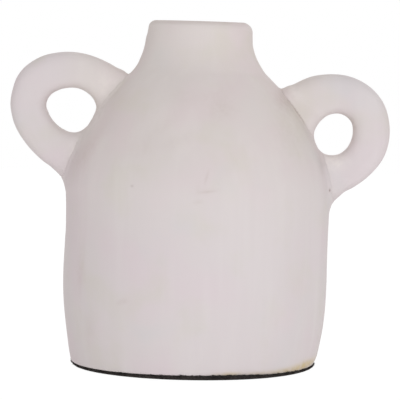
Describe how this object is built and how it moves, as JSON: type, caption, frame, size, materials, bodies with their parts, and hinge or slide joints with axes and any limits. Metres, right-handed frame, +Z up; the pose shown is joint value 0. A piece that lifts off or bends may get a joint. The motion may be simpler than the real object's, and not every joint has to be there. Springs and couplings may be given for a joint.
{
  "type": "two-handled vase",
  "caption": "Squat matt ceramic bottle vase with an upright wall, round shoulder, short neck and a thick ring handle on each side, standing on a felt pad.",
  "frame": {"origin": "centre of the felt pad's underside, on the vessel's axis, where the vase rests on a table", "axes": "+Z up along the vessel's axis; +X towards the lower ring handle; -Y towards a viewer who sees the higher ring on the left"},
  "size_m": [0.2205, 0.1534, 0.1999],
  "materials": {
    "matt_ceramic": "matt",
    "felt": "matt"
  },
  "bodies": {
    "root": {"vessel_body": "matt_ceramic", "handle_left": "matt_ceramic", "handle_right": "matt_ceramic", "base_pad": "felt"}
  },
  "joints": []
}
